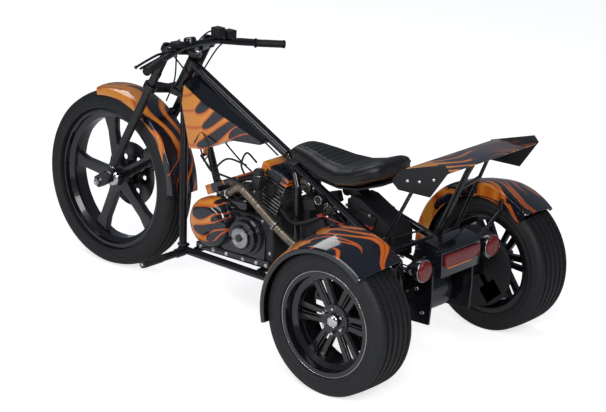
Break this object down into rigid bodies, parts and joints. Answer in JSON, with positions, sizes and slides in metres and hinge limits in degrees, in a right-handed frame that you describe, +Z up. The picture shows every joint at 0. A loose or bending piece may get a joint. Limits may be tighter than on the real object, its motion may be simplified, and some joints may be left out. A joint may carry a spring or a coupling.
{
  "type": "motorized trike",
  "caption": "Custom motor trike with a raked front fork, V-twin in a tube frame, solo saddle, wide rear wheels and a small rear wing, on free wheels with steering.",
  "frame": {"origin": "middle of the footprint on the ground, under the centre of the bounding box", "axes": "+X forward, +Y to the rider's left, +Z up"},
  "size_m": [2.3155, 1.208, 1.087],
  "materials": {
    "bare_alloy": "cast and machined alloy",
    "exhaust_wrap": "heat-tinted ribbed pipe",
    "flame_paint": "gloss black with orange flames under clear coat",
    "frame_black": "satin black powder coat",
    "gloss_black": "gloss black paint",
    "lamp_red": "red lamp lens",
    "matt_black": "matt black plastic",
    "rubber_black": "matt rubber",
    "seat_leather": "black stitched leather",
    "steel": "plated steel",
    "tyre_rubber": "matt tyre rubber"
  },
  "bodies": {
    "chassis": {"backbone": "frame_black", "down_tubes": "frame_black", "lower_rails": "frame_black", "cross_tubes": "frame_black", "foot_pegs": "frame_black", "seat_posts": "frame_black", "rear_struts": "frame_black", "axle_carrier": "frame_black", "rear_axle": "frame_black", "rear_calipers": "gloss_black", "fuel_tank": "flame_paint", "fuel_hose": "rubber_black", "engine_block": "matt_black", "cylinders": "bare_alloy", "fan_shroud": "flame_paint", "belt_cover": "gloss_black", "cylinder_cowls": "flame_paint", "carburettor": "matt_black", "exhaust": "exhaust_wrap", "battery_box": "gloss_black", "seat_cushion": "seat_leather", "seat_pan": "matt_black", "rear_fender_left": "flame_paint", "rear_fender_right": "flame_paint", "fender_stays": "frame_black", "wing_blade": "flame_paint", "wing_plates": "matt_black", "wing_struts": "frame_black", "tail_housing": "gloss_black", "lamp_bodies": "gloss_black", "lamp_lenses": "lamp_red"},
    "fork": {"fork_legs": "frame_black", "fork_yokes": "frame_black", "front_axle": "steel", "front_caliper": "frame_black", "handlebar": "frame_black", "grips": "rubber_black", "bar_controls": "matt_black", "front_fender": "flame_paint", "fender_lugs": "frame_black"},
    "front_wheel": {"front_rim": "gloss_black", "front_disc": "steel", "front_tyre": "tyre_rubber"},
    "rear_left_wheel": {"rear_left_rim": "gloss_black", "rear_left_tyre": "tyre_rubber"},
    "rear_right_wheel": {"rear_right_rim": "gloss_black", "rear_right_tyre": "tyre_rubber"}
  },
  "joints": [
    {"name": "steering", "type": "hinge", "parent": "chassis", "child": "fork", "pos_m": [0.40987, 0, 0.877], "axis": [-0.4848, 0, 0.8746], "range_deg": [-27, 33]},
    {"name": "front_wheel_spin", "type": "hinge", "parent": "fork", "child": "front_wheel", "pos_m": [0.7819, -0.00432, 0.37594], "axis": [0.0458, 0.9986, 0.0254], "continuous": true},
    {"name": "rear_left_wheel_spin", "type": "hinge", "parent": "chassis", "child": "rear_left_wheel", "pos_m": [-0.838, 0.493, 0.283], "axis": [0, 1, 0], "continuous": true},
    {"name": "rear_right_wheel_spin", "type": "hinge", "parent": "chassis", "child": "rear_right_wheel", "pos_m": [-0.838, -0.493, 0.283], "axis": [0, 1, 0], "continuous": true}
  ]
}
